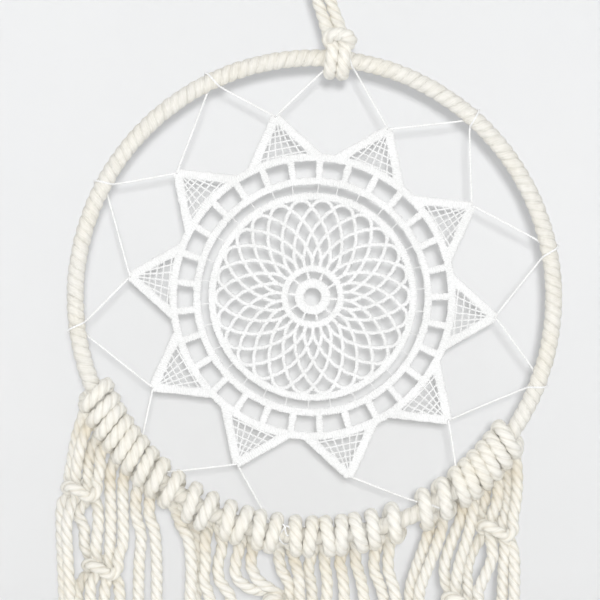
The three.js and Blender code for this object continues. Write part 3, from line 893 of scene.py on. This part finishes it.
def join_meshes(name, meshes):
    """One mesh from several."""
    things = [bpy.data.objects.new("part", mesh) for mesh in meshes]
    for thing in things:
        bpy.context.scene.collection.objects.link(thing)
    with bpy.context.temp_override(
        active_object=things[0], selected_editable_objects=things, selected_objects=things
    ):
        bpy.ops.object.join()
    mesh = things[0].data
    mesh.name = name
    bpy.data.objects.remove(things[0])
    return mesh


def across_ring(row, angle):
    """The two ends of a straight piece that crosses a ring-shaped gap of the lace."""
    return [polar(row["inner"], angle), polar(row["outer"], angle)]


def doily(material):
    """Guipure lace: satin rings and bars, the leafy net, and the ten points with their mesh."""
    meshes = []
    for inner, outer in RINGS:
        meshes.append(band_mesh(ring_places((inner + outer) / 2), outer - inner, closed=True))
    for index in range(SPOKES["count"]):
        ends = across_ring(SPOKES, FIRST_ANGLE + 360 / SPOKES["count"] * index)
        meshes.append(band_mesh(ends, SPOKES["width"]))
    for index in range(WINDOW_BARS["count"]):
        ends = across_ring(WINDOW_BARS, 360 / WINDOW_BARS["count"] * index)
        meshes.append(band_mesh(ends, WINDOW_BARS["width"]))
    for index in range(HAIR_BRIDGES["count"]):
        angle = HAIR_BRIDGES["first"] + 360 / HAIR_BRIDGES["count"] * index
        ends = across_ring(HAIR_BRIDGES, angle + random.normal(0, 0.5))
        meshes.append(fine_thread(ends, HAIR_BRIDGES["radius"]))
    for index in range(POINT_COUNT):
        for side in point_sides(point_angle(index)):
            meshes.append(band_mesh(side, POINT_BAND))
        for line in point_lines(point_angle(index)):
            meshes.append(fine_thread(line, POINT_THREAD))
    for line in net_lines():
        meshes.append(net_thread(line))
    mesh = join_meshes("doily_lace", meshes)
    lace = show("doily_lace", mesh, material)
    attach(lace, "hoop")
    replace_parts(lace, "lace_doily")
    return lace


def fine_thread(places, radius):
    line = smooth(np.array(places) + random.uniform(-0.12, 0.12, (len(places), 3)), 0.5)
    line = line + random.normal(0, 0.04, line.shape)
    return sweep("thread", line + HOOP_CENTRE + DOILY_CENTRE, round_section(radius, 6), np.zeros(len(line)))


def net_thread(places):
    """One worked thread of the net: flat, a little knobbly, and wider than it is thick."""
    line = smooth(places, 0.3)
    count = len(line)
    stitches = np.sin(2 * math.pi * along_line(line) / NET_THREAD["stitch"] + random.uniform(0, 6))
    knobs = 1 + 0.19 * stitches + random.normal(0, 0.07, count)
    normals = np.tile([0, 1.0, 0], (count, 1))
    section = round_section(NET_THREAD["radius"], 8)
    line = line + random.normal(0, 0.03, line.shape) + HOOP_CENTRE + DOILY_CENTRE
    return sweep("net", line, section, np.zeros(count), normals, NET_THREAD["thickness"], knobs)


# ---------- The lacing thread ----------

# Where the thread reaches the hoop after each point and where it leaves it for the next one.
LACING = [
    (9.5, 14.4), (47.4, 50.1), (79.8, 86.9), (114, 118), (150.5, 154.1),
    (185.9, 189.9), (220.8, 229.5), (258.9, 267.6), (296.8, 308.1), (336.6, 341.8),
]
LACING_START = 7  # the thread's two ends are at the hoop after this point
THREAD_LAY = 2.4  # one full turn of its two plies

TIE_ROUTE = [
    [-14.2, -2.8, -97.2], [-13.2, -4.1, -95.8], [-12.3, -4.6, -94.6], [-11.3, -4.9, -94.0],
    [-10.5, -4.9, -94.6], [-10.1, -4.8, -96.0], [-10.2, -4.7, -97.6], [-11.2, -4.7, -98.0],
    [-11.9, -4.9, -96.4], [-12.3, -5.2, -94.2], [-13.2, -5.2, -93.2],
]


def lacing(material):
    """The thread goes from each point to the hoop, round behind it, and back over its front."""
    around = WRAP_RADIUS + THREAD_DIAMETER / 2
    places = []
    order = [(LACING_START + 1 + index) % POINT_COUNT for index in range(POINT_COUNT)]
    for index in order:
        arrive, leave = LACING[index]
        tip = DOILY_CENTRE + polar(POINT_TIP - 1.4, point_angle(index))
        places += [tip + [0, -1.1, 0], tip + [0, 1.1, 0]]
        for step in range(9):
            share = step / 8
            turn = math.radians(-90 - 360 * share)
            depth, out = around * math.cos(turn), around * math.sin(turn)
            places.append(on_hoop(arrive + (leave - arrive) * share, 0, depth, out))
    line = smooth([HOOP_CENTRE + place for place in places], 0.5)
    travelled = along_line(line)
    section = lobed_section(2, THREAD_DIAMETER * 0.6, 0.35, 6)
    mesh = sweep("lacing_cord", line, section, 2 * math.pi * travelled / THREAD_LAY)
    thread = show("lacing_cord", mesh, material)
    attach(thread, "hoop")
    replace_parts(thread, "lacing_thread")
    return thread


def lacing_tie(material):
    """The small loop left where the thread's two ends are tied, in front of the hoop."""
    line = smooth([HOOP_CENTRE + place for place in TIE_ROUTE], 0.3)
    section = lobed_section(2, THREAD_DIAMETER * 0.55, 0.35, 6)
    mesh = sweep("lacing_tie", line, section, 2 * math.pi * along_line(line) / THREAD_LAY)
    tie = show("lacing_tie", mesh, material)
    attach(tie, "hoop")


# ---------- Stage ----------

# In metres. The card is a wall close behind the hoop, which draws back below the view to leave room
# for the tails when they sway, and then bends forward into a floor.
WALL_DEPTH = 0.125
WALL_SLOPE = [(0.27, -0.56), (0.21, -0.47), (0.16, -0.41), (WALL_DEPTH, -0.35)]
FLOOR_Z = -0.75
FLOOR_BACK = 0.30
FLOOR_BEND = 0.1
BEND_STEPS = 8
CARD_FRONT = -3.0
CARD_TOP = 2.0
CARD_SIDE = 3.0

# Place, size across and power (W). The small key light is near the camera's axis, so that the hoop's
# shadow on the wall stays close to it.
LIGHTS = {
    "key": ((0.012, -1.3, -0.2), 0.04, 9.4),
    "left": ((-1.1, -1.2, 0.7), 1.4, 2.8),
    "right": ((1.1, -1.3, 0.8), 1.4, 2.8),
}
WORLD_COLOUR = (0.82, 0.825, 0.83, 1)
WORLD_STRENGTH = 0.67


def make_stage():
    """The backdrop card, as one strip of faces along its side view."""
    profile = [(CARD_FRONT, FLOOR_Z), (FLOOR_BACK - FLOOR_BEND, FLOOR_Z)]
    for step in range(1, BEND_STEPS + 1):
        angle = math.radians(90 * step / BEND_STEPS)
        depth = FLOOR_BACK - FLOOR_BEND + FLOOR_BEND * math.sin(angle)
        profile.append((depth, FLOOR_Z + FLOOR_BEND * (1 - math.cos(angle))))
    profile += [*WALL_SLOPE, (WALL_DEPTH, CARD_TOP)]
    points = [(x, y, z) for y, z in profile for x in (-CARD_SIDE, CARD_SIDE)]
    faces = [(2 * i, 2 * i + 1, 2 * i + 3, 2 * i + 2) for i in range(len(profile) - 1)]
    mesh = bpy.data.meshes.new("backdrop")
    mesh.from_pydata(points, [], faces)
    mesh.polygons.foreach_set("use_smooth", [True] * len(faces))
    backdrop = show("backdrop", mesh, backdrop_material())


def area_light(name, place, target, size, power):
    data = bpy.data.lights.new(name, "AREA")
    data.shape = "DISK"
    data.size = size
    data.energy = power
    light = bpy.data.objects.new(name, data)
    light.location = place
    direction = np.array(target) - np.array(place)
    light.rotation_euler = Vector(direction).to_track_quat("-Z", "Y").to_euler()
    bpy.context.scene.collection.objects.link(light)


def make_lights():
    middle = (HOOP_CENTRE * MM).tolist()
    for name, (place, size, power) in LIGHTS.items():
        area_light(name, place, middle, size, power)
    world = bpy.data.worlds.new("world")
    world.use_nodes = True
    background = world.node_tree.nodes["Background"]
    background.inputs["Color"].default_value = WORLD_COLOUR
    background.inputs["Strength"].default_value = WORLD_STRENGTH
    bpy.context.scene.world = world
    bpy.context.scene.view_settings.view_transform = "Standard"


def steel_ring(material):
    """The wire inside the winding keeps its CAD mesh."""
    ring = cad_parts["steel_ring"]
    ring.data.materials.clear()
    ring.data.materials.append(material)


def main():
    make_camera()
    # The second colour of a cotton is the painted shade in the grooves between its plies.
    cord = cotton_material("cotton_cord", (0.93, 0.912, 0.855), (0.84, 0.80, 0.715), tinted_below_knots=True)
    hanging_loop(cord)
    top_knot(cord)
    hanging_leg(-1, "hanging_leg_left", cord)
    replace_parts(hanging_leg(1, "hanging_leg_right", cord), "hanging_knot")
    fringe(cord)
    winding(cotton_material("cotton_winding", (0.865, 0.845, 0.79), (0.82, 0.79, 0.72), tinted_below_knots=False))
    thread_white = thread_material("lacing_thread", (0.97, 0.97, 0.965), (1.2, 0.3))
    thread = lacing(thread_white)
    lacing_tie(thread_white)
    lace = doily(thread_material("guipure_lace", (0.84, 0.84, 0.837), (0.7, 2.6)))
    steel_ring(steel_material())
    make_stage()
    make_lights()


main()
